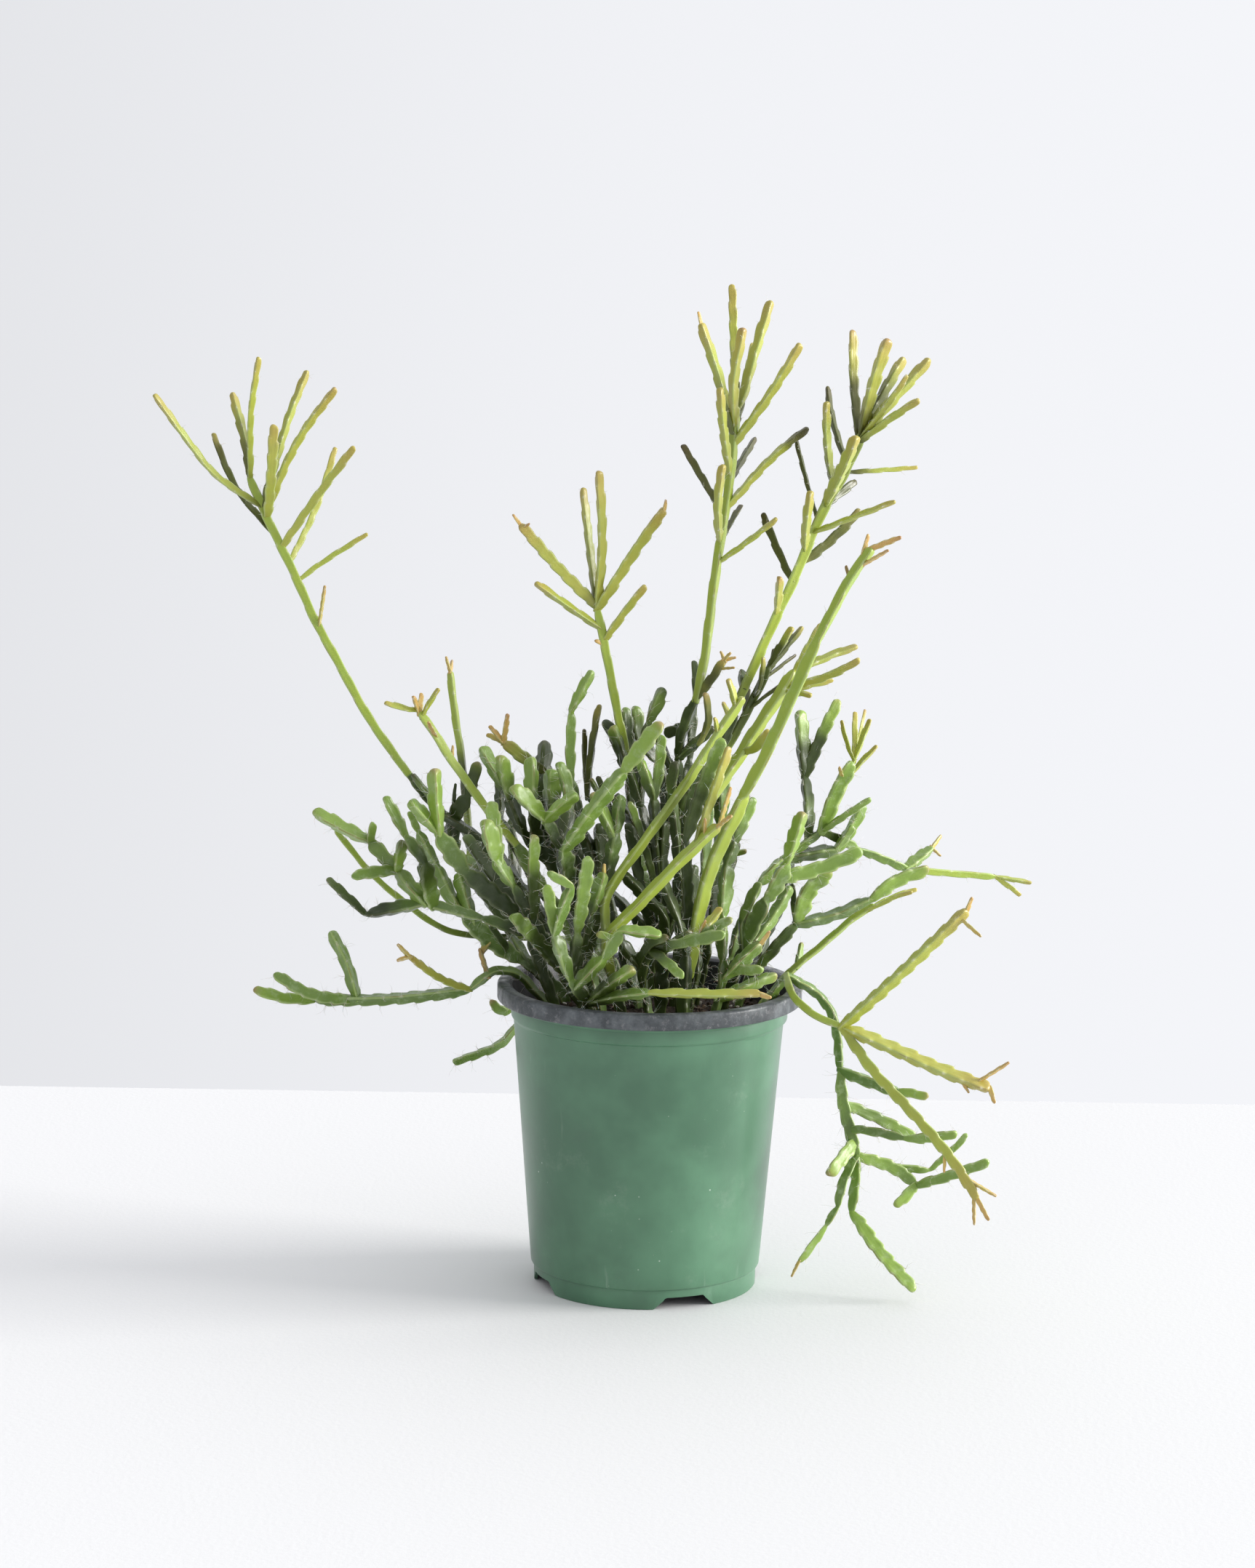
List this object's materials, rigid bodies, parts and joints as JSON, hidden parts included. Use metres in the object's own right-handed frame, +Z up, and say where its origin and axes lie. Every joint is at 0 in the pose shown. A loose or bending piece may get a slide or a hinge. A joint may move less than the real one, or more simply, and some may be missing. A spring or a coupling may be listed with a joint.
{
  "type": "potted rhipsalis",
  "caption": "Small jungle cactus in a round nursery pot: branched, three-angled, notched stems rise, lean and trail from the soil.",
  "frame": {"origin": "on the surface that the pot stands on, under the middle of the whole plant's outline", "axes": "+Z up, +X to the right as the plant is seen from the front, +Y to the back"},
  "size_m": [0.3166, 0.1286, 0.3541],
  "materials": {
    "pot": "thin mottled green nursery plastic, dull, with pale scuffs and water marks; the lip is black and dusty",
    "soil": "dark, crumbly, moist peat and bark mix with pale grit",
    "stems": "waxy green cactus skin, darker with a grey bloom on old segments, yellow-green on young ones, with a few white bristles"
  },
  "bodies": {
    "root": {"pot": "pot", "soil": "soil", "stem_back_trail": "stems", "stem_centre": "stems", "stem_centre_left": "stems", "stem_centre_spire": "stems", "stem_diagonal_wands": "stems", "stem_front_fan": "stems", "stem_front_low": "stems", "stem_front_wand": "stems", "stem_left_crown": "stems", "stem_left_dark": "stems", "stem_left_front": "stems", "stem_left_low": "stems", "stem_left_pair": "stems", "stem_left_reach": "stems", "stem_left_thin": "stems", "stem_left_wand": "stems", "stem_mid_wand": "stems", "stem_olive_wand": "stems", "stem_right_crown": "stems", "stem_right_front": "stems", "stem_right_reach": "stems", "stem_right_small": "stems", "stem_right_upright": "stems", "stem_right_wand": "stems", "stem_second_wand": "stems", "stem_tall_wand": "stems", "stem_trailing": "stems"}
  },
  "joints": []
}
